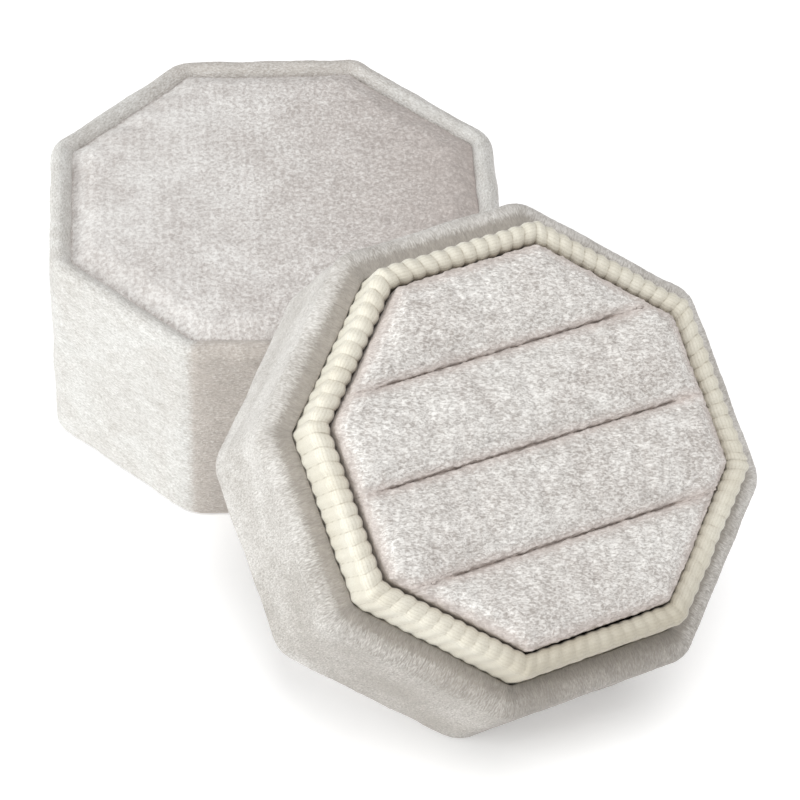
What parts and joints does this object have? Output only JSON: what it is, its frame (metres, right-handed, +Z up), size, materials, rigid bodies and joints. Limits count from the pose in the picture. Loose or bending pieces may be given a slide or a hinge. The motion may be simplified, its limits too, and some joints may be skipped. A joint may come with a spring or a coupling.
{
  "type": "ring box",
  "caption": "Octagonal velvet ring box with a lift-off lid, a ribbon-wrapped collar and a slotted ring cushion, shown open with the base leaning on the lid.",
  "frame": {"origin": "centre of the lid's open rim, on the surface that the box stands on", "axes": "+Z up; the lid's flats face +X, -X, +Y and -Y; the base leans on the lid's front right top corner"},
  "size_m": [0.088, 0.1135, 0.0573],
  "materials": {
    "velvet": "short-pile velvet, warm pale grey",
    "ribbon": "ivory grosgrain ribbon with cross ribs",
    "lining": "ivory satin lining",
    "greyboard": "rigid grey board",
    "card": "thin card",
    "foam": "open-cell foam",
    "wadding": "soft polyester wadding"
  },
  "bodies": {
    "lid": {"lid_velvet": "velvet", "lid_wadding": "wadding", "lid_wall_board": "greyboard", "lid_top_board": "greyboard", "lid_panel_card": "card", "lid_panel_foam": "foam", "lid_panel_velvet": "velvet", "lid_lining": "lining", "lid_ceiling_card": "card", "lid_ceiling_velvet": "velvet"},
    "base": {"base_velvet": "velvet", "base_wadding": "wadding", "base_wall_board": "greyboard", "base_floor_board": "greyboard", "base_bottom_panel": "velvet", "collar_board": "greyboard", "collar_ribbon": "ribbon"},
    "insert": {"insert_card": "card", "foam_bar_1": "foam", "foam_bar_2": "foam", "foam_bar_3": "foam", "foam_bar_4": "foam", "insert_velvet": "velvet"}
  },
  "joints": [
    {"name": "base_lift", "type": "slide", "parent": "lid", "child": "base", "axis": [0.2351, -0.554, 0.7986], "range_m": [0, 0.06]},
    {"name": "cushion_lift", "type": "slide", "parent": "base", "child": "insert", "axis": [0.2351, -0.554, 0.7986], "range_m": [0, 0.03]}
  ]
}
